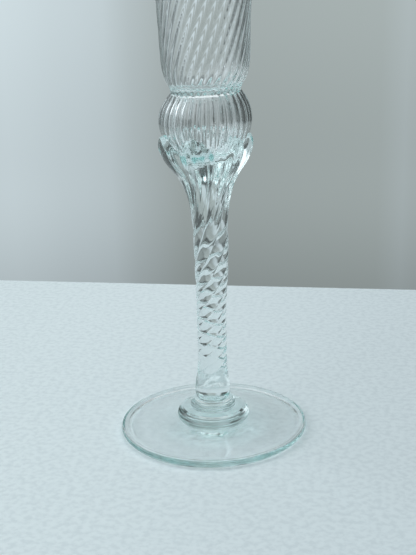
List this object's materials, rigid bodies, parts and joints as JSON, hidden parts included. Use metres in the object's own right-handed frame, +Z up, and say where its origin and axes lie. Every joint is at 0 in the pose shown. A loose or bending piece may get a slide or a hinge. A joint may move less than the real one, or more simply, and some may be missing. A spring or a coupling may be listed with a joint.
{
  "type": "champagne flute",
  "caption": "Tall champagne flute of clear blown glass: swirl-ribbed bowl on a hollow ribbed knop, held by petals at the top of a twisted stem on a round foot.",
  "frame": {"origin": "centre of the foot, on the table that the flute stands on", "axes": "+Z up along the stem to the rim; +X to the right of the reference view and +Y away from it"},
  "size_m": [0.0748, 0.0748, 0.262],
  "materials": {
    "clear_glass": "fire-polished clear glass with a faint cool grey-green tint"
  },
  "bodies": {
    "root": {"foot": "clear_glass", "lower_collar": "clear_glass", "upper_collar": "clear_glass", "stem": "clear_glass", "knop": "clear_glass", "bowl": "clear_glass"}
  },
  "joints": []
}
